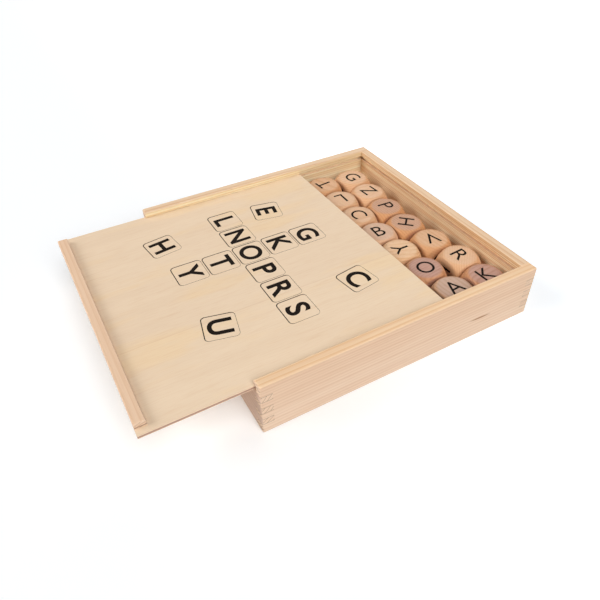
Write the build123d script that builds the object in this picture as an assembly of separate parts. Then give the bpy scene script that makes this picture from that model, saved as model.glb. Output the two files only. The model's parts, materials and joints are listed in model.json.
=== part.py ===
from build123d import *
import os

# Letter dice word game: a square pine box with box-jointed corners, a thin plywood lid that
# slides in grooves below the tops of the walls, and seven columns of seven wooden letter dice.
# Millimetres. +X runs along the near and far walls towards the closed end, +Y to the far wall,
# +Z up. The origin is the centre of the box's underside.

# The box
BOX = 245.0            # outside length and width
WALL = 9.0             # thickness of the four wall boards
WALL_HEIGHT = 47.0     # near, far and rear walls
EDGE_ROUND = 1.2       # the walls' outside edges and lips are sanded round once they are glued
INNER = BOX / 2 - WALL  # from the middle to a wall's inner face

# The groove that the lid runs in, cut below the lip of three walls
GROOVE_FLOOR = 38.4
GROOVE_HEIGHT = 3.6
GROOVE_DEPTH = 3.0

# The box joints: fingers of an end wall that pass through a side wall
FINGER = 5.6
FIRST_FINGER = 9.2
FINGERS = 3

# The bottom panel, held in a groove all round
BOTTOM_THICKNESS = 3.0
BOTTOM_UNDERSIDE = 3.0
BOTTOM_TONGUE = 3.0    # how far the panel enters each wall
BOTTOM_PLAY = 0.5      # room left at the end of each tongue
FLOOR = BOTTOM_UNDERSIDE + BOTTOM_THICKNESS

# The lid and the batten glued along its outer end
LID_THICKNESS = 3.0
LID_PLAY = 0.3         # above and below the lid in its groove
LID_WIDTH = 230.5      # more than the room between the walls plus one groove, so that it can't drop in
LID_SHIFT = 0.8        # how far the loose lid lies towards the far wall
LID_END_PLAY = 0.5     # left at the end of the groove when the box is shut
LID_OPENED = 78.0      # how far the lid is drawn out
LID_UNDERSIDE = GROOVE_FLOOR + LID_PLAY
LID_TOP = LID_UNDERSIDE + LID_THICKNESS
LID_INNER_END = INNER + GROOVE_DEPTH - LID_END_PLAY - LID_OPENED
LID_OUTER_END = -BOX / 2 - LID_OPENED
BATTEN_WIDTH = 8.0
BATTEN_LENGTH = 220.0
BATTEN_HEIGHT = 4.6
BATTEN_ROUND = 0.8

# The dice: cubes whose corners are turned away on a ball
DIE = 30.0
DIE_BALL_RADIUS = 20.5
DIE_GAP = 0.3
PITCH = DIE + DIE_GAP

# The loose dice in the two open columns, row 1 against the near wall, as they have settled: each one's
# centre and its turn in degrees
COLUMN_1 = (
    (93.3, -98.2, 0),
    (93.0, -67.7, 1),
    (88.0, -36.3, -4),
    (84.2, -4.4, 0),
    (84.4, 27.0, -2),
    (86.0, 58.4, 2),
    (87.0, 89.6, 5),
)
COLUMN_2 = (
    (60.2, -98.2, 0),
    (56.8, -66.6, -2),
    (55.0, -35.4, -2),
    (53.7, -4.0, -1),
    (53.6, 28.2, -1),
    (54.4, 60.0, -2),
    (54.5, 92.2, 4),
)
HIDDEN_COLUMNS = range(3, 8)
ROWS = 7


def block(x, y, z):
    """A box between two corners along each axis."""
    size = (x[1] - x[0], y[1] - y[0], z[1] - z[0])
    middle = ((x[0] + x[1]) / 2, (y[0] + y[1]) / 2, (z[0] + z[1]) / 2)
    return Pos(*middle) * Box(*size)


def finger_spans():
    """Heights between which an end wall's fingers pass through the side walls."""
    starts = [FIRST_FINGER + 2 * FINGER * i for i in range(FINGERS)]
    return [(z, z + FINGER) for z in starts]


def bottom_groove_reach():
    return INNER + BOTTOM_TONGUE + BOTTOM_PLAY


def sanded_ring():
    """The four walls as one, open above the front wall, with the edges that sandpaper reaches made round."""
    ring = block((-BOX / 2, BOX / 2), (-BOX / 2, BOX / 2), (0, WALL_HEIGHT))
    ring -= block((-INNER, INNER), (-INNER, INNER), (0, WALL_HEIGHT))
    ring -= block((-BOX / 2, -INNER), (-INNER, INNER), (GROOVE_FLOOR, WALL_HEIGHT))
    lips = ring.edges().group_by(Axis.Z)[-1]
    bottom = ring.edges().group_by(Axis.Z)[0]
    outer_bottom = bottom.group_by(lambda edge: max(abs(edge.center().X), abs(edge.center().Y)))[-1]
    upright = ring.edges().filter_by(Axis.Z)
    corners = upright.group_by(lambda edge: abs(edge.center().X) + abs(edge.center().Y))[-1]
    return fillet(lips + outer_bottom + corners, EDGE_ROUND)


def side_wall(side):
    """Near wall (side -1) or far wall (side 1): full length, notched at both ends for the fingers."""
    inner = side * INNER
    outer = side * BOX / 2
    wall = RING & block((-BOX / 2, BOX / 2), sorted((inner, outer)), (0, WALL_HEIGHT))
    for end in (-1, 1):
        for span in finger_spans():
            wall -= block(sorted((end * INNER, end * BOX / 2)), sorted((inner, outer)), span)
    lid_groove = block(
        (-BOX / 2, INNER + GROOVE_DEPTH),
        sorted((inner, inner + side * GROOVE_DEPTH)),
        (GROOVE_FLOOR, GROOVE_FLOOR + GROOVE_HEIGHT),
    )
    reach = bottom_groove_reach()
    bottom_groove = block((-reach, reach), sorted((inner, side * reach)), (BOTTOM_UNDERSIDE, FLOOR))
    return wall - lid_groove - bottom_groove


def end_wall(end, height):
    """Front wall (end -1) or rear wall (end 1): fits between the side walls, with fingers through them."""
    inner = end * INNER
    outer = end * BOX / 2
    wall = block(sorted((inner, outer)), (-INNER, INNER), (0, height))
    for span in finger_spans():
        wall += block(sorted((inner, outer)), (-BOX / 2, BOX / 2), span)
    reach = bottom_groove_reach()
    wall -= block(sorted((inner, end * reach)), (-INNER, INNER), (BOTTOM_UNDERSIDE, FLOOR))
    return RING & wall


def front_end_wall():
    """The low wall at the open end: the lid passes over it."""
    return end_wall(-1, GROOVE_FLOOR)


def rear_end_wall():
    """The full-height wall that the lid's inner end enters when the box is shut."""
    groove = block(
        (INNER, INNER + GROOVE_DEPTH),
        (-INNER, INNER),
        (GROOVE_FLOOR, GROOVE_FLOOR + GROOVE_HEIGHT),
    )
    return end_wall(1, WALL_HEIGHT) - groove


def bottom_panel():
    half = INNER + BOTTOM_TONGUE
    return block((-half, half), (-half, half), (BOTTOM_UNDERSIDE, FLOOR))


def lid_panel():
    return block(
        (LID_OUTER_END, LID_INNER_END),
        (LID_SHIFT - LID_WIDTH / 2, LID_SHIFT + LID_WIDTH / 2),
        (LID_UNDERSIDE, LID_TOP),
    )


def lid_batten():
    """Square strip on top of the lid, which fills the gap over the front wall when the box is shut."""
    batten = block(
        (LID_OUTER_END, LID_OUTER_END + BATTEN_WIDTH),
        (LID_SHIFT - BATTEN_LENGTH / 2, LID_SHIFT + BATTEN_LENGTH / 2),
        (LID_TOP, LID_TOP + BATTEN_HEIGHT),
    )
    top_edges = batten.edges().group_by(Axis.Z)[-1]
    return fillet(top_edges, BATTEN_ROUND)


def letter_die(x, y, turn):
    cube = Box(DIE, DIE, DIE) & Sphere(DIE_BALL_RADIUS)
    return Pos(x, y, FLOOR + DIE / 2) * Rot(0, 0, turn) * cube


def dice_places():
    """Column and row of each die, with its centre and turn. Column 1 is by the rear wall."""
    places = {}
    for column, dice in ((1, COLUMN_1), (2, COLUMN_2)):
        for row, place in enumerate(dice, start=1):
            places[column, row] = place
    first = -INNER + DIE_GAP + DIE / 2
    for column in HIDDEN_COLUMNS:
        for row in range(1, ROWS + 1):
            places[column, row] = (
                first + (HIDDEN_COLUMNS.stop - 1 - column) * PITCH,
                first + (row - 1) * PITCH,
                0,
            )
    return places


RING = sanded_ring()

parts = {
    "near_side_wall": side_wall(-1),
    "far_side_wall": side_wall(1),
    "front_end_wall": front_end_wall(),
    "rear_end_wall": rear_end_wall(),
    "bottom_panel": bottom_panel(),
    "sliding_lid": lid_panel(),
    "lid_batten": lid_batten(),
}
for (column, row), place in dice_places().items():
    parts[f"letter_die_c{column}_r{row}"] = letter_die(*place)

os.makedirs("parts", exist_ok=True)
for name, solid in parts.items():
    export_step(solid, f"parts/{name}.step")
    print(name, len(solid.solids()), "solid", round(solid.volume / 1000, 2), "cm3")
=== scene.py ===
import json
import math
import random

import bmesh
import bpy
from mathutils import Matrix, Vector


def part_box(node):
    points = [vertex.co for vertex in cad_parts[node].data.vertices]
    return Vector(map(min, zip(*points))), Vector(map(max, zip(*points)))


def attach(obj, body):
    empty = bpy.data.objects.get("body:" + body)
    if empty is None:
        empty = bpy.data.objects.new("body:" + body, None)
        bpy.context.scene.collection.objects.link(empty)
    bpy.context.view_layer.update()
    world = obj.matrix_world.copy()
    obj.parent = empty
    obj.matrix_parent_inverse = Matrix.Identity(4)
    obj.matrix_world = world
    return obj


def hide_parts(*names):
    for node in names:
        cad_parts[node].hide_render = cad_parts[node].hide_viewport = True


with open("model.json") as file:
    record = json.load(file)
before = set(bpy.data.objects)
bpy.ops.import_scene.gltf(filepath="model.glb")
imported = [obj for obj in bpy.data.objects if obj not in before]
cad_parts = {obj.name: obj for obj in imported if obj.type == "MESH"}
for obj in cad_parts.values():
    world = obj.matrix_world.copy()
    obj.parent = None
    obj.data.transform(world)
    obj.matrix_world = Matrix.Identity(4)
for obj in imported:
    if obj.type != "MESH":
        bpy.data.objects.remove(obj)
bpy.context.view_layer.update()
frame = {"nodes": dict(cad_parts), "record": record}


# The four walls: sawn pine boards with box joints at the corners, glued, then sanded across the
# joints. The solids have the right shape, so here they get their wood: growth rings round a heart
# line that lies outside each board, which show as lines along it and as arcs on the finger ends.

RING_TURN = 0.314                     # a ring wave of scale s repeats every 0.314 / s metres
ALONG_X = (0.0, 0.0, 0.0)
ALONG_Y = (0.0, 0.0, math.radians(90.0))
FIRST_FINGER = 0.0092                 # height of the lowest joint between two fingers
FINGER = 0.0056
GLUE_LINE = 0.0002, 0.0006            # off a joint, where the glue's colour starts to fade and is gone
COLOUR_BORDER = 0.1168, 0.1180        # off the box's middle, where a wall's inner colour, which is painted light, turns outer
WANDER = 0.0036                       # how far that border wanders through the board

# Each pine is the colour of its early wood and of the late wood that ends a year
PINE = (0.815, 0.61, 0.447), (0.742, 0.528, 0.367)
# Painted shade: a darker pine for the front end wall's outside, which lies in the shade of the lid's
# overhang
PINE_PAINTED_SHADE = (0.73, 0.53, 0.41), (0.67, 0.46, 0.34)
PINE_EDGE = (0.915, 0.66, 0.43), (0.84, 0.545, 0.31)
PINE_EDGE_PALE = (0.85, 0.63, 0.43), (0.77, 0.50, 0.30)
# Painted light: the inner faces are paler and more orange than the boards' own wood, as the light bounced
# inside the box makes them, and paler still on the far wall
PINE_INSIDE_PAINTED_LIGHT = (0.98, 0.745, 0.49), (0.77, 0.48, 0.25)
PINE_INSIDE_PALE_PAINTED_LIGHT = (1.0, 0.87, 0.62), (0.90, 0.68, 0.42)
END_GRAIN = (0.82, 0.61, 0.45)
GLUE = (0.42, 0.28, 0.20)
RESIN = (0.50, 0.33, 0.22)

# Painted light: what a board's colour is multiplied by, from the first height to the second. Outside,
# the boards turn paler and cooler low down, as the white table's bounced light makes them; inside, the
# tone is part of the inner faces' painted light
OUTSIDE_TONE = (0.002, 0.046), (1.05, 1.08, 1.12), (1.0, 0.96, 0.935)
INSIDE_TONE = (0.024, 0.044), (1.06, 1.12, 1.14), (0.98, 0.98, 0.94)

# What the end grain is multiplied by over one year, where the saw has cut across it
CUT_YEAR = (
    (0.0, (1.0, 0.99, 0.98)),
    (0.78, (0.97, 0.94, 0.91)),
    (0.90, (0.46, 0.35, 0.27)),
    (1.0, (1.0, 0.99, 0.98)),
)

# The near wall has a small pocket of pitch: its middle, half sizes and turn
PITCH_POCKET = (0.069, -0.1225, 0.0185), (0.0135, 0.006, 0.0011), (0.0, math.radians(2.0), 0.0)


def node(tree, kind, values=None, links=None, **settings):
    """A shader node with its settings, its sockets' values and the sockets that feed it."""
    made = tree.nodes.new("ShaderNode" + kind)
    for name, value in settings.items():
        setattr(made, name, value)
    for socket, value in (values or {}).items():
        made.inputs[socket].default_value = value
    for socket, source in (links or {}).items():
        tree.links.new(source, made.inputs[socket])
    return made


def ramp(tree, factor, stops):
    """A colour ramp through (position, colour) stops."""
    made = node(tree, "ValToRGB", links={"Fac": factor})
    elements = made.color_ramp.elements
    while len(elements) < len(stops):
        elements.new(0.5)
    for element, (position, colour) in zip(elements, stops):
        element.position = position
        element.color = (*colour, 1.0)
    return made.outputs["Color"]


def blend(tree, factor, first, second, how="MIX"):
    """Two colours mixed by a factor. Each is a socket or a plain colour."""
    made = node(tree, "Mix", data_type="RGBA", blend_type=how)
    for socket, value in ((0, factor), (6, first), (7, second)):
        if isinstance(value, bpy.types.NodeSocket):
            tree.links.new(value, made.inputs[socket])
        elif isinstance(value, float):
            made.inputs[socket].default_value = value
        else:
            made.inputs[socket].default_value = (*value, 1.0)
    return made.outputs[2]


def tinted_by(tree, colour, multiplier, factor=1.0):
    """A colour multiplied by another, as far as the factor goes: a stain or grain, and also painted light
    and shade.
    """
    return blend(tree, factor, colour, multiplier, "MULTIPLY")


def between(tree, value, low, high, to_low=0.0, to_high=1.0):
    """A value mapped smoothly from one span to another."""
    made = node(
        tree, "MapRange", interpolation_type="SMOOTHSTEP",
        values={"From Min": low, "From Max": high, "To Min": to_low, "To Max": to_high},
        links={"Value": value},
    )
    return made.outputs["Result"]


def past(tree, value, start):
    """How far a value is past a start."""
    return node(tree, "Math", operation="SUBTRACT", values={1: start}, links={0: value}).outputs[0]


def size_of(tree, value):
    """A value without its sign."""
    return node(tree, "Math", operation="ABSOLUTE", links={0: value}).outputs[0]


def toned(tree, colour, height, span, lower, upper):
    """Painted light: a colour multiplied by one tone at the foot of a span of heights and by another at its
    top.
    """
    return tinted_by(tree, colour, blend(tree, between(tree, height, *span), lower, upper))


def stretched(tree, source, along):
    """Coordinates squeezed along the grain, so that a pattern on them is drawn out along it."""
    made = node(tree, "Mapping", values={"Scale": (along, 1.0, 1.0)}, links={"Vector": source})
    return made.outputs["Vector"]


def streaks(tree, source, scale, along, detail=2.0):
    """Noise drawn out along the grain, from 0 to 1."""
    made = node(
        tree, "TexNoise", values={"Scale": scale, "Detail": detail, "Roughness": 0.6},
        links={"Vector": stretched(tree, source, along)},
    )
    return made.outputs["Fac"]


def round_heart(tree, place, heart, turn):
    """Coordinates measured from a point on the heart line, with X along the grain."""
    made = node(
        tree, "Mapping", vector_type="TEXTURE", values={"Location": heart, "Rotation": turn},
        links={"Vector": place},
    )
    return made.outputs["Vector"]


def year_rings(tree, source, spacing, along, stray, stray_scale, stray_roughness):
    """Growth rings round the heart line, from 0 to 1 over each year. The last three values say how
    they stray from true circles."""
    made = node(
        tree, "TexWave", wave_type="RINGS", rings_direction="X", wave_profile="SAW",
        values={
            "Scale": RING_TURN / spacing, "Distortion": stray, "Detail": 3.0, "Detail Scale": stray_scale,
            "Detail Roughness": stray_roughness,
        },
        links={"Vector": stretched(tree, source, along)},
    )
    return made.outputs["Fac"]


def ring_lines(tree, rings, early, late):
    """Pale early wood that darkens into a thin line of late wood at the end of each year."""
    return ramp(tree, rings, ((0.0, early), (0.45, early), (0.88, late), (1.0, early)))


def finger_ends(tree, rings, height):
    """End grain, with arcs where the rings are cut across and dark glue between the fingers."""
    grain = tinted_by(tree, END_GRAIN, ramp(tree, rings, CUT_YEAR))
    above = past(tree, height, FIRST_FINGER)
    off_joint = node(tree, "Math", operation="PINGPONG", values={1: FINGER / 2.0}, links={0: above})
    return blend(tree, between(tree, off_joint.outputs[0], *GLUE_LINE), GLUE, grain)


def spot(tree, source, middle, half, turn):
    """1 in the middle of a long thin spot, 0 outside it."""
    local = node(
        tree, "Mapping", vector_type="TEXTURE",
        values={"Location": middle, "Rotation": turn, "Scale": half}, links={"Vector": source},
    )
    reach = node(tree, "VectorMath", operation="LENGTH", links={0: local.outputs["Vector"]})
    return between(tree, reach.outputs["Value"], 0.35, 1.0, to_low=1.0, to_high=0.0)


def new_material(name):
    """A material with an empty node tree."""
    material = bpy.data.materials.new(name)
    material.use_nodes = True
    tree = material.node_tree
    tree.nodes.clear()
    return material, tree


def finish(tree, shader):
    """Puts a shader on the material's surface."""
    output = node(tree, "OutputMaterial")
    tree.links.new(shader.outputs[0], output.inputs["Surface"])


def finish_wood(tree, colour, fibre, roughness, relief, shine=0.18):
    """Bare sanded wood over the given colour, with its fibres in the sheen and the surface."""
    rough = between(tree, fibre, 0.3, 0.7, roughness - 0.06, roughness + 0.06)
    bump = node(tree, "Bump", values={"Strength": relief, "Distance": 0.0002}, links={"Height": fibre})
    shader = node(
        tree, "BsdfPrincipled", values={"Specular IOR Level": shine},
        links={"Base Color": colour, "Roughness": rough, "Normal": bump.outputs["Normal"]},
    )
    finish(tree, shader)


def pine(name, grain, heart, ring, outer, edge, inner, pitch_pocket=None):
    """Pine with its grain along X or Y. heart is a point on the heart line and ring the rings'
    spacing. outer, edge and inner are the pines of most of the board, of its upper edge, and of the
    half towards the box's middle. inner is painted light: the inner faces paler and more orange, as
    the light bounced inside the box makes them."""
    material, tree = new_material(name)
    coordinates = node(tree, "TexCoord")
    place = coordinates.outputs["Object"]
    normal = coordinates.outputs["Normal"]
    board = round_heart(tree, place, heart, grain)
    rings = year_rings(tree, board, ring, along=0.05, stray=9.0, stray_scale=0.22, stray_roughness=0.6)
    patches = streaks(tree, board, scale=30.0, along=0.09, detail=3.0)
    lines = streaks(tree, board, scale=330.0, along=0.02, detail=3.0)
    fibre = streaks(tree, board, scale=1500.0, along=0.03)

    where = node(tree, "SeparateXYZ", links={"Vector": place})
    height = where.outputs["Z"]
    across = size_of(tree, where.outputs["Y" if grain == ALONG_X else "X"])
    wander = node(
        tree, "Math", operation="MULTIPLY_ADD", values={1: WANDER, 2: -WANDER / 2.0}, links={0: patches},
    )
    depth = node(tree, "Math", operation="ADD", links={0: wander.outputs[0], 1: across})
    # Painted light: both halves of the board are toned by height
    outside = toned(tree, ring_lines(tree, rings, *outer), height, *OUTSIDE_TONE)
    # Painted light: the inner half takes the inner pine, lit up as the inside of the box is
    inside = toned(tree, ring_lines(tree, rings, *inner), height, *INSIDE_TONE)
    inside = tinted_by(tree, inside, inner[1], between(tree, lines, 0.42, 0.62, to_high=0.40))
    colour = blend(tree, between(tree, depth.outputs[0], *COLOUR_BORDER), inside, outside)

    upward = node(tree, "SeparateXYZ", links={"Vector": normal}).outputs["Z"]
    colour = blend(tree, between(tree, upward, 0.2, 0.9), colour, ring_lines(tree, rings, *edge))
    colour = tinted_by(tree, colour, outer[1], between(tree, lines, 0.42, 0.68, to_high=0.18))
    colour = tinted_by(tree, colour, outer[1], between(tree, fibre, 0.35, 0.7, to_high=0.12))
    if pitch_pocket:
        colour = blend(tree, spot(tree, place, *pitch_pocket), colour, tinted_by(tree, colour, RESIN))

    axis = (1.0, 0.0, 0.0) if grain == ALONG_X else (0.0, 1.0, 0.0)
    facing = node(tree, "VectorMath", operation="DOT_PRODUCT", values={1: axis}, links={0: normal})
    at_end = between(tree, size_of(tree, facing.outputs["Value"]), 0.6, 0.9)
    colour = blend(tree, at_end, colour, finger_ends(tree, rings, height))
    finish_wood(tree, colour, fibre, roughness=0.6, relief=0.35)
    return material


def give_wood(piece, wood):
    """Puts a wood on one of the solids."""
    materials = frame["nodes"][piece].data.materials
    materials.clear()
    materials.append(wood)


walls = {
    "near_side_wall": (ALONG_X, (0.0, -0.235, -0.130), 0.0024, PINE, PINE_EDGE, PINE_INSIDE_PAINTED_LIGHT, PITCH_POCKET),
    "far_side_wall": (ALONG_X, (0.0, 0.190, -0.150), 0.0024, PINE, PINE_EDGE_PALE, PINE_INSIDE_PALE_PAINTED_LIGHT),
    "front_end_wall": (ALONG_Y, (-0.205, 0.0, 0.120), 0.0031, PINE_PAINTED_SHADE, PINE_EDGE, PINE_INSIDE_PAINTED_LIGHT),
    "rear_end_wall": (ALONG_Y, (0.060, 0.0, 0.240), 0.0016, PINE, PINE_EDGE_PALE, PINE_INSIDE_PAINTED_LIGHT),
}
for wall, settings in walls.items():
    give_wood(wall, pine(wall, *settings))


# The bottom panel: thin plywood in a groove round the walls, sanded both sides. Its face veneer
# runs along the box. The dice stand on it.

CORE_MIDDLE = 0.0013                  # height of the core's middle above the sheet's underside
CORE_HALF = 0.0006, 0.0009            # off that middle, where the core's colour starts to fade and is gone

# A plywood's colours are its pale and deep veneer, its yellow patches and its core
BOTTOM_PLY = (0.76, 0.54, 0.35), (0.68, 0.46, 0.29), (0.78, 0.54, 0.32), (0.55, 0.37, 0.23)


def plywood(name, low, pale, deep, yellow, core, seam=None):
    """Three-ply with its face veneers along X. low is the underside's height. seam is the place across
    the sheet where two strips of veneer meet, with the stains of the second strip and of the line."""
    material, tree = new_material(name)
    place = node(tree, "TexCoord").outputs["Object"]
    patches = streaks(tree, place, scale=34.0, along=0.25, detail=3.0)
    clouds = streaks(tree, place, scale=75.0, along=0.12, detail=3.0)
    dashes = streaks(tree, place, scale=330.0, along=0.07)
    pores = streaks(tree, place, scale=1100.0, along=0.06)
    colour = blend(tree, between(tree, clouds, 0.3, 0.7, to_high=0.4), pale, deep)
    colour = blend(tree, between(tree, patches, 0.50, 0.66, to_high=0.8), colour, yellow)
    colour = tinted_by(tree, colour, deep, between(tree, dashes, 0.52, 0.78, to_high=0.14))
    colour = tinted_by(tree, colour, deep, between(tree, pores, 0.45, 0.7, to_high=0.14))

    where = node(tree, "SeparateXYZ", links={"Vector": place})
    if seam:
        seam_place, strip, line = seam
        off = past(tree, where.outputs["Y"], seam_place)
        colour = blend(tree, between(tree, off, -0.0003, 0.0003), colour, tinted_by(tree, colour, strip))
        on_line = between(tree, size_of(tree, off), 0.0001, 0.0005, to_low=1.0, to_high=0.0)
        colour = tinted_by(tree, colour, line, on_line)
    off_core = size_of(tree, past(tree, where.outputs["Z"], low + CORE_MIDDLE))
    colour = blend(tree, between(tree, off_core, *CORE_HALF), core, colour)
    finish_wood(tree, colour, pores, roughness=0.58, relief=0.2)
    return material


bottom_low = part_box("bottom_panel")[0]
give_wood("bottom_panel", plywood("bottom_plywood", bottom_low.z, *BOTTOM_PLY))


# The lid: a pale plywood panel that runs in grooves under the lips of three walls. Two strips of
# veneer meet on its face, and its cut edges show the darker middle layer.

LID_PLY = (0.865, 0.68, 0.49), (0.80, 0.605, 0.425), (0.875, 0.66, 0.425), (0.46, 0.27, 0.20)
SEAM = -0.043, (0.982, 0.978, 0.98), (0.93, 0.885, 0.85)

lid_low, lid_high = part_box("sliding_lid")
give_wood("sliding_lid", plywood("lid_plywood", lid_low.z, *LID_PLY, seam=SEAM))


# The batten: a square-cut strip of pine glued across the lid's outer end as its grip, with a little
# bare lid beyond each of its ends.

BATTEN_PINE = (0.87, 0.675, 0.54), (0.82, 0.61, 0.47)
BATTEN_TOP = (0.835, 0.595, 0.415), (0.775, 0.525, 0.345)
BATTEN_HEART = (-0.150, 0.0, -0.060)

batten_wood = pine("batten", ALONG_Y, BATTEN_HEART, 0.0019, BATTEN_PINE, BATTEN_TOP, BATTEN_PINE)
give_wood("lid_batten", batten_wood)


# The letter dice: beech cubes with their corners turned away to a ball, each with a capital printed
# on every face. Some are cut from paler or redder wood. They lie loose in the box.

DIE_HALF = 0.015
DIE_BALL = 0.0205
CREASE = 0.0025                       # how softly a flat face turns into the ball
DIE_CUTS = 23
LETTER_HEIGHT = 0.0143
INK = 0.00003                         # half the thickness of a printed letter
CAPITAL = 0.682                       # height of a capital as a share of the font's size
ALPHABET = "ABCDEFGHJKLNOPRSTUVXYZ"
TOP_SLANT = 4.0                       # how far off square, in degrees, a letter may be printed
SIDE_SLANT = 3.0
DRAW = 1081                           # settles the letters, turns and woods that are free

# The letter on top, its turn from above in degrees, and which of its tint's woods it is cut from, for
# the dice that the lid leaves open
OPEN_TOPS = {
    (1, 1): ("K", 3, 0),
    (1, 2): ("R", -86, 2),
    (1, 3): ("V", 172, 1),
    (1, 4): ("H", 47, 1),
    (1, 5): ("P", -93, 1),
    (1, 6): ("Z", 94, 0),
    (1, 7): ("G", -84, 0),
    # painted shade: this die, against the near wall, takes the pale wood's darker, greyer copy
    (2, 1): ("A", 4, 1),
    (2, 2): ("O", 0, 0),
    (2, 3): ("Y", 90, 0),
    (2, 4): ("B", -4, 3),
    (2, 5): ("C", -92, 0),
    (2, 6): ("L", 178, 2),
    (2, 7): ("T", 96, 1),
}

# Each wood is its early and late colour, and what the turned corners multiply them by
BEECH = (0.755, 0.485, 0.305), (0.68, 0.40, 0.23), (0.96, 0.87, 0.75)
BEECH_DEEP = (0.715, 0.435, 0.255), (0.63, 0.345, 0.175), (0.92, 0.78, 0.62)
BEECH_GREY = (0.685, 0.455, 0.32), (0.60, 0.37, 0.24), (1.08, 0.96, 0.80)
PALE = (0.82, 0.54, 0.33), (0.73, 0.44, 0.245), (0.95, 0.86, 0.74)
# Painted shade: the pale wood darker and greyer, as the die against the near wall shows in that wall's
# shadow
PALE_PAINTED_SHADE = (0.585, 0.395, 0.295), (0.51, 0.315, 0.21), (1.20, 1.04, 0.82)
PINK = (0.53, 0.306, 0.234), (0.44, 0.225, 0.15), (1.12, 0.93, 0.58)
PINK_LIGHT = (0.585, 0.342, 0.222), (0.50, 0.26, 0.15), (1.10, 0.93, 0.62)
UPRIGHT_PAINTED_SHADE = (0.86, 0.76, 0.66)          # painted shade: what the upright faces multiply them by, as the sides of dice packed in a box lie in shade
INK_BLACK = (0.007, 0.005, 0.004)
INK_WORN = (0.022, 0.015, 0.011)


def die_wood(name, turn, heart, ring, early, late, corner):
    """Close-grained beech, its grain turned by the given angles. corner is what the turned corners,
    where the ball cuts across the grain, make of the flat faces' colour."""
    material, tree = new_material(name)
    coordinates = node(tree, "TexCoord")
    block = round_heart(tree, coordinates.outputs["Object"], heart, [math.radians(angle) for angle in turn])
    rings = year_rings(tree, block, ring, along=0.15, stray=6.0, stray_scale=0.12, stray_roughness=0.5)
    clouds = streaks(tree, block, scale=70.0, along=0.3, detail=3.0)
    flecks = streaks(tree, block, scale=1600.0, along=0.12)
    colour = ring_lines(tree, rings, early, late)
    colour = blend(tree, between(tree, clouds, 0.35, 0.65, to_high=0.6), colour, early)
    colour = tinted_by(tree, colour, late, between(tree, flecks, 0.45, 0.75, to_high=0.22))
    turned = between(tree, node(tree, "Attribute", attribute_name="turned").outputs["Fac"], 0.0, 1.0)
    colour = tinted_by(tree, colour, corner, turned)
    # Painted shade: faces that stand upright come out darker and redder than the top and the bottom
    upward = node(tree, "SeparateXYZ", links={"Vector": coordinates.outputs["Normal"]}).outputs["Z"]
    level = between(tree, size_of(tree, upward), 0.1, 0.55)
    colour = blend(tree, level, tinted_by(tree, colour, UPRIGHT_PAINTED_SHADE), colour)
    finish_wood(tree, colour, flecks, roughness=0.5, relief=0.15, shine=0.3)
    return material


def ink(name):
    """Matt black printing ink that the wood's pores show through a little."""
    material, tree = new_material(name)
    place = node(tree, "TexCoord").outputs["Object"]
    pores = node(tree, "TexNoise", values={"Scale": 2500.0, "Detail": 2.0}, links={"Vector": place})
    colour = ramp(tree, pores.outputs["Fac"], ((0.4, INK_BLACK), (0.8, INK_WORN)))
    rough = between(tree, pores.outputs["Fac"], 0.3, 0.7, to_low=0.65, to_high=0.8)
    shader = node(
        tree, "BsdfPrincipled", values={"Specular IOR Level": 0.05},
        links={"Base Color": colour, "Roughness": rough},
    )
    finish(tree, shader)
    return material


def soft_least(first, second, width):
    """The lesser of two lengths, rounded off where they cross."""
    overlap = max(width - abs(first - second), 0.0) / width
    return min(first, second) - overlap * overlap * width / 4.0


def turned_block():
    """A cube drawn in to a ball wherever it stands out of one, with a mark on what the ball has cut."""
    shape = bmesh.new()
    bmesh.ops.create_cube(shape, size=2.0 * DIE_HALF)
    bmesh.ops.subdivide_edges(shape, edges=shape.edges[:], cuts=DIE_CUTS, use_grid_fill=True)
    turned = shape.verts.layers.float.new("turned")
    for vertex in shape.verts:
        reach = vertex.co.length
        vertex[turned] = min(max((reach - DIE_BALL) / CREASE + 0.5, 0.0), 1.0)
        vertex.co *= soft_least(reach, DIE_BALL, CREASE) / reach
    for face in shape.faces:
        face.smooth = True
    mesh = bpy.data.meshes.new("turned_block")
    shape.to_mesh(mesh)
    shape.free()
    return mesh


def printed_letter(character, height, swell=0.0):
    """A capital as a thin solid of ink facing +Z, its middle at the origin. swell makes it bolder."""
    text = bpy.data.curves.new("letter", "FONT")
    text.body = character
    text.size = height / CAPITAL
    text.extrude = INK
    text.offset = swell
    text.resolution_u = 6
    carrier = bpy.data.objects.new("letter", text)
    bpy.context.scene.collection.objects.link(carrier)
    bpy.context.view_layer.update()
    mesh = bpy.data.meshes.new_from_object(carrier.evaluated_get(bpy.context.evaluated_depsgraph_get()))
    bpy.data.objects.remove(carrier)
    low = Vector(min(v.co[i] for v in mesh.vertices) for i in range(3))
    high = Vector(max(v.co[i] for v in mesh.vertices) for i in range(3))
    mesh.transform(Matrix.Translation(-(low + high) / 2.0))
    return mesh


def turned_about(axis, angle):
    """A turn about an axis, by an angle in degrees."""
    return Matrix.Rotation(math.radians(angle), 4, axis)


def turn_of(solid):
    """How far a die's solid is turned on its base, in degrees, from its largest upright face."""
    upright = [face for face in solid.data.polygons if abs(face.normal.z) < 0.01]
    widest = max(upright, key=lambda face: face.area)
    angle = math.degrees(math.atan2(widest.normal.y, widest.normal.x))
    return angle - 90.0 * round(angle / 90.0)


def any_turn(chance, slant):
    """One of four ways round, a little off square."""
    return 90.0 * chance.randrange(4) + chance.uniform(-slant, slant)


printing_ink = ink("printing_ink")
block_mesh = turned_block()
letters = {character: printed_letter(character, LETTER_HEIGHT) for character in ALPHABET}


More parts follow.
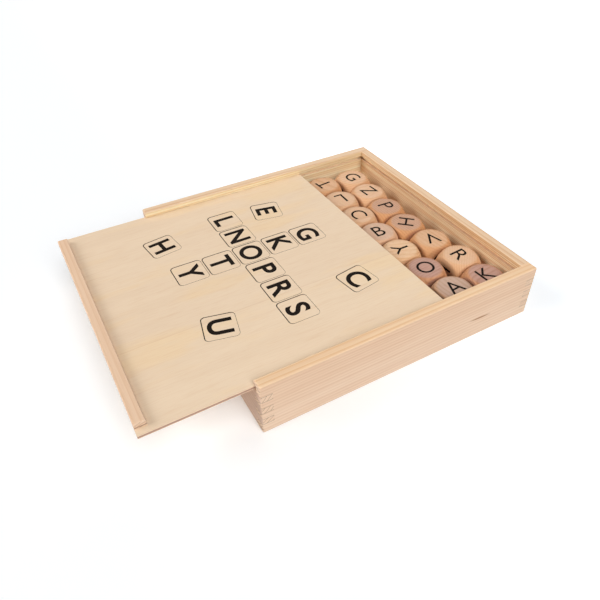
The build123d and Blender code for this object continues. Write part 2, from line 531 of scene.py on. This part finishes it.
def lettered_die(name, centre, die_turn, top, top_turn, wood, chance):
    """One die with its six letters, lying as its solid does."""
    mesh = block_mesh.copy()
    mesh.materials.append(wood)
    mesh.materials.append(printing_ink)
    shape = bmesh.new()
    shape.from_mesh(mesh)
    sides = ("Z", 0.0), ("X", 90.0), ("X", 180.0), ("X", 270.0), ("Y", 90.0), ("Y", -90.0)
    for number, (axis, tilt) in enumerate(sides):
        if number == 0:
            character = top
            spin = top_turn - die_turn
        else:
            character = chance.choice(ALPHABET)
            spin = any_turn(chance, SIDE_SLANT)
        on_face = Matrix.Translation((0.0, 0.0, DIE_HALF)) @ turned_about("Z", spin)
        before = len(shape.verts)
        faces_before = len(shape.faces)
        shape.from_mesh(letters[character])
        shape.verts.ensure_lookup_table()
        shape.faces.ensure_lookup_table()
        bmesh.ops.transform(shape, matrix=turned_about(axis, tilt) @ on_face, verts=shape.verts[before:])
        for face in shape.faces[faces_before:]:
            face.material_index = 1
            face.smooth = False
    lying = Matrix.Translation(centre) @ turned_about("Z", die_turn)
    bmesh.ops.transform(shape, matrix=lying, verts=shape.verts[:])
    shape.to_mesh(mesh)
    shape.free()
    die = bpy.data.objects.new(name, mesh)
    bpy.context.scene.collection.objects.link(die)
    return die


die_woods = {
    "die_beech": [
        die_wood("die_beech_long", (0, 0, 0), (0.0, 0.030, -0.060), 0.0021, *BEECH),
        die_wood("die_beech_deep", (0, 5, 88), (0.020, 0.0, -0.090), 0.0023, *BEECH_DEEP),
        die_wood("die_beech_slant", (0, 40, 25), (0.090, 0.010, -0.050), 0.0019, *BEECH),
        die_wood("die_beech_grey", (0, 0, 90), (0.055, 0.0, -0.040), 0.0024, *BEECH_GREY),
    ],
    "die_pale": [
        die_wood("die_pale_long", (0, 10, 0), (0.0, -0.080, -0.070), 0.0022, *PALE),
        # painted shade: a darker, greyer copy of the pale wood
        die_wood("die_pale_painted_shade", (0, 0, 95), (0.100, 0.0, 0.090), 0.0026, *PALE_PAINTED_SHADE),
    ],
    "die_pink": [
        die_wood("die_pink_long", (0, 0, 8), (0.0, -0.130, 0.080), 0.0020, *PINK),
        die_wood("die_pink_cross", (0, 20, 90), (0.150, 0.0, 0.060), 0.0023, *PINK_LIGHT),
    ],
}
slots = {entry["node"]: entry["material_slot"] for entry in frame["record"]["subparts"]}
chance = random.Random(DRAW)
for body, members in frame["record"]["behaviour"]["bodies"].items():
    for name in members:
        if not name.startswith("letter_die_"):
            continue
        column, row = (int(part[1:]) for part in name.split("_")[2:])
        woods = die_woods[slots[name]]
        if (column, row) in OPEN_TOPS:
            top, turn, wood = OPEN_TOPS[column, row]
        else:
            top = chance.choice(ALPHABET)
            turn = any_turn(chance, TOP_SLANT)
            wood = chance.randrange(len(woods))
        low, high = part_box(name)
        die_turn = turn_of(frame["nodes"][name])
        die = lettered_die("printed_" + name, (low + high) / 2.0, die_turn, top, turn, woods[wood], chance)
        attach(die, body)
        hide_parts(name)


# The print on the lid: outlined letter tiles, most of them in a row and a column that cross, in the
# same black ink. It is a thin film on the veneer, and slides with the lid.

TILE = 0.026
TILE_ROUND = 0.0035
LINE = 0.0005                         # width of a tile's outline
EDGE_SHADE = 0.00022                  # moves the inner outline, which thickens two sides of the tile
TILE_LETTER = 0.0175
BOLD = 0.0006
TILE_TURN = -90.0                     # the letters' tops point to the box's closed end
PITCH = 0.0272

CROSSING = (-0.062, 0.018)            # where the row and the column of tiles meet
ROW = "LNOPRS"
COLUMN = "GKOTY"
SHARED = 2                            # the place of the shared letter in both

# Four more tiles lie loose round the game: letter, place and slant
LOOSE = (
    ("C", -0.004, -0.056, 9.0),
    ("E", -0.022, 0.069, -11.0),
    ("H", -0.124, 0.064, 8.0),
    ("U", -0.120, -0.052, -13.0),
)

tiles = []
for step, character in enumerate(ROW):
    tiles.append((character, CROSSING[0], CROSSING[1] + (SHARED - step) * PITCH, 0.0))
for step, character in enumerate(COLUMN):
    if step != SHARED:
        tiles.append((character, CROSSING[0] + (SHARED - step) * PITCH, CROSSING[1], 0.0))
tiles += LOOSE


def tile_outline():
    """The line round a tile: a rounded square with its middle taken out."""
    shape = bmesh.new()
    bmesh.ops.create_grid(shape, x_segments=1, y_segments=1, size=TILE / 2.0)
    bmesh.ops.bevel(
        shape, geom=shape.verts[:], offset=TILE_ROUND, offset_type="OFFSET", segments=8, profile=0.5,
        affect="VERTICES", material=-1,
    )
    inner = shape.faces[:]
    bmesh.ops.inset_region(shape, faces=inner, thickness=LINE, use_boundary=True, use_even_offset=True)
    middle = {vertex for face in inner for vertex in face.verts}
    bmesh.ops.translate(shape, vec=(EDGE_SHADE, EDGE_SHADE, 0.0), verts=list(middle))
    bmesh.ops.delete(shape, geom=inner, context="FACES_ONLY")
    raised = bmesh.ops.extrude_face_region(shape, geom=shape.faces[:])
    top = [item for item in raised["geom"] if isinstance(item, bmesh.types.BMVert)]
    bmesh.ops.translate(shape, vec=(0.0, 0.0, 2.0 * INK), verts=top)
    bmesh.ops.translate(shape, vec=(0.0, 0.0, -INK), verts=shape.verts[:])
    bmesh.ops.recalc_face_normals(shape, faces=shape.faces[:])
    mesh = bpy.data.meshes.new("tile_outline")
    shape.to_mesh(mesh)
    shape.free()
    return mesh


outline = tile_outline()
lid_print = bmesh.new()
for character, x, y, slant in tiles:
    place = Matrix.Translation((x, y, lid_high.z)) @ turned_about("Z", TILE_TURN + slant)
    for mesh in (outline, printed_letter(character, TILE_LETTER, BOLD)):
        before = len(lid_print.verts)
        lid_print.from_mesh(mesh)
        lid_print.verts.ensure_lookup_table()
        bmesh.ops.transform(lid_print, matrix=place, verts=lid_print.verts[before:])
print_mesh = bpy.data.meshes.new("lid_print")
lid_print.to_mesh(print_mesh)
lid_print.free()
print_mesh.materials.append(printing_ink)
print_piece = bpy.data.objects.new("lid_print", print_mesh)
bpy.context.scene.collection.objects.link(print_piece)
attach(print_piece, "lid")


# The floor: a plain white table top that takes the box's shadow. The camera sees it lifted a little,
# more so to the right of the box, where the shadow is to stay faint.

FLOOR_HALF = 3.0
FLOOR_WHITE = (0.95, 0.96, 0.97, 1.0)
FLOOR_GLOW = (0.92, 1.0, 1.07, 1.0)
GLOW_SPAN = -0.13, 0.14               # along X, from the left of the box to its right
GLOW_LEVELS = 0.09, 0.30

floor_shape = bmesh.new()
bmesh.ops.create_grid(floor_shape, x_segments=1, y_segments=1, size=FLOOR_HALF)
floor_mesh = bpy.data.meshes.new("table_top")
floor_shape.to_mesh(floor_mesh)
floor_shape.free()

floor_material, floor_tree = new_material("table_top")
floor_place = node(floor_tree, "TexCoord").outputs["Object"]
floor_x = node(floor_tree, "SeparateXYZ", links={"Vector": floor_place}).outputs["X"]
lift = between(floor_tree, floor_x, *GLOW_SPAN, *GLOW_LEVELS)
in_view = node(floor_tree, "LightPath").outputs["Is Camera Ray"]
seen_lift = node(floor_tree, "Math", operation="MULTIPLY", links={0: in_view, 1: lift}).outputs[0]
glow = node(floor_tree, "Emission", values={"Color": FLOOR_GLOW}, links={"Strength": seen_lift})
paper = node(floor_tree, "BsdfDiffuse", values={"Color": FLOOR_WHITE})
finish(floor_tree, node(floor_tree, "AddShader", links={0: paper.outputs[0], 1: glow.outputs[0]}))
floor_mesh.materials.append(floor_material)

floor = bpy.data.objects.new("table_top", floor_mesh)
bpy.context.scene.collection.objects.link(floor)


# The light: broad soft lamps round a table, most of it from the left and the front, in a nearly dark
# room whose white backdrop is seen only by the camera and in what shines.

LAMP_SOFTNESS = math.radians(38.0)
ROOM = 0.03

# Where each lamp's light comes from, as the angle round from +X and the angle above the table, and
# its strength
lamps = {
    "front": (270.0, 38.0, 1.36),
    "overhead": (270.0, 63.0, 1.03),
    "left": (160.0, 31.0, 1.85),
    "back": (45.0, 38.0, 0.27),
    "right": (315.0, 12.0, 0.14),
}
for name, (around, above, strength) in lamps.items():
    light = bpy.data.lights.new(name, "SUN")
    light.energy = strength
    light.angle = LAMP_SOFTNESS
    lamp = bpy.data.objects.new(name, light)
    lamp.rotation_euler = (math.radians(90.0 - above), 0.0, math.radians(around + 90.0))
    bpy.context.scene.collection.objects.link(lamp)

world = bpy.data.worlds.new("room")
world.use_nodes = True
room = world.node_tree
room.nodes.clear()
path = node(room, "LightPath").outputs
shown = node(
    room, "Math", operation="MAXIMUM", links={0: path["Is Camera Ray"], 1: path["Is Glossy Ray"]},
)
level = node(room, "MapRange", values={"To Min": ROOM, "To Max": 1.0}, links={"Value": shown.outputs[0]})
backdrop = node(
    room, "Background", values={"Color": (1.0, 1.0, 1.0, 1.0)}, links={"Strength": level.outputs["Result"]},
)
room_output = node(room, "OutputWorld")
room.links.new(backdrop.outputs["Background"], room_output.inputs["Surface"])
bpy.context.scene.world = world


# The camera stands at the box's near left corner and looks down on it, as in the photograph. Its
# view is shifted a little, to lay the box where the photograph has it.

camera_data = bpy.data.cameras.new("camera")
camera_data.sensor_width = 36.0
camera_data.lens = 34.70
camera_data.shift_x = -0.0064
camera_data.shift_y = -0.0272
camera_data.clip_start = 0.01
camera = bpy.data.objects.new("camera", camera_data)
camera.location = (-0.2128, -0.3462, 0.3322)
camera.rotation_euler = (math.radians(50.247), math.radians(0.682), math.radians(-29.499))
bpy.context.scene.collection.objects.link(camera)
bpy.context.scene.camera = camera
bpy.context.scene.view_settings.view_transform = "Standard"
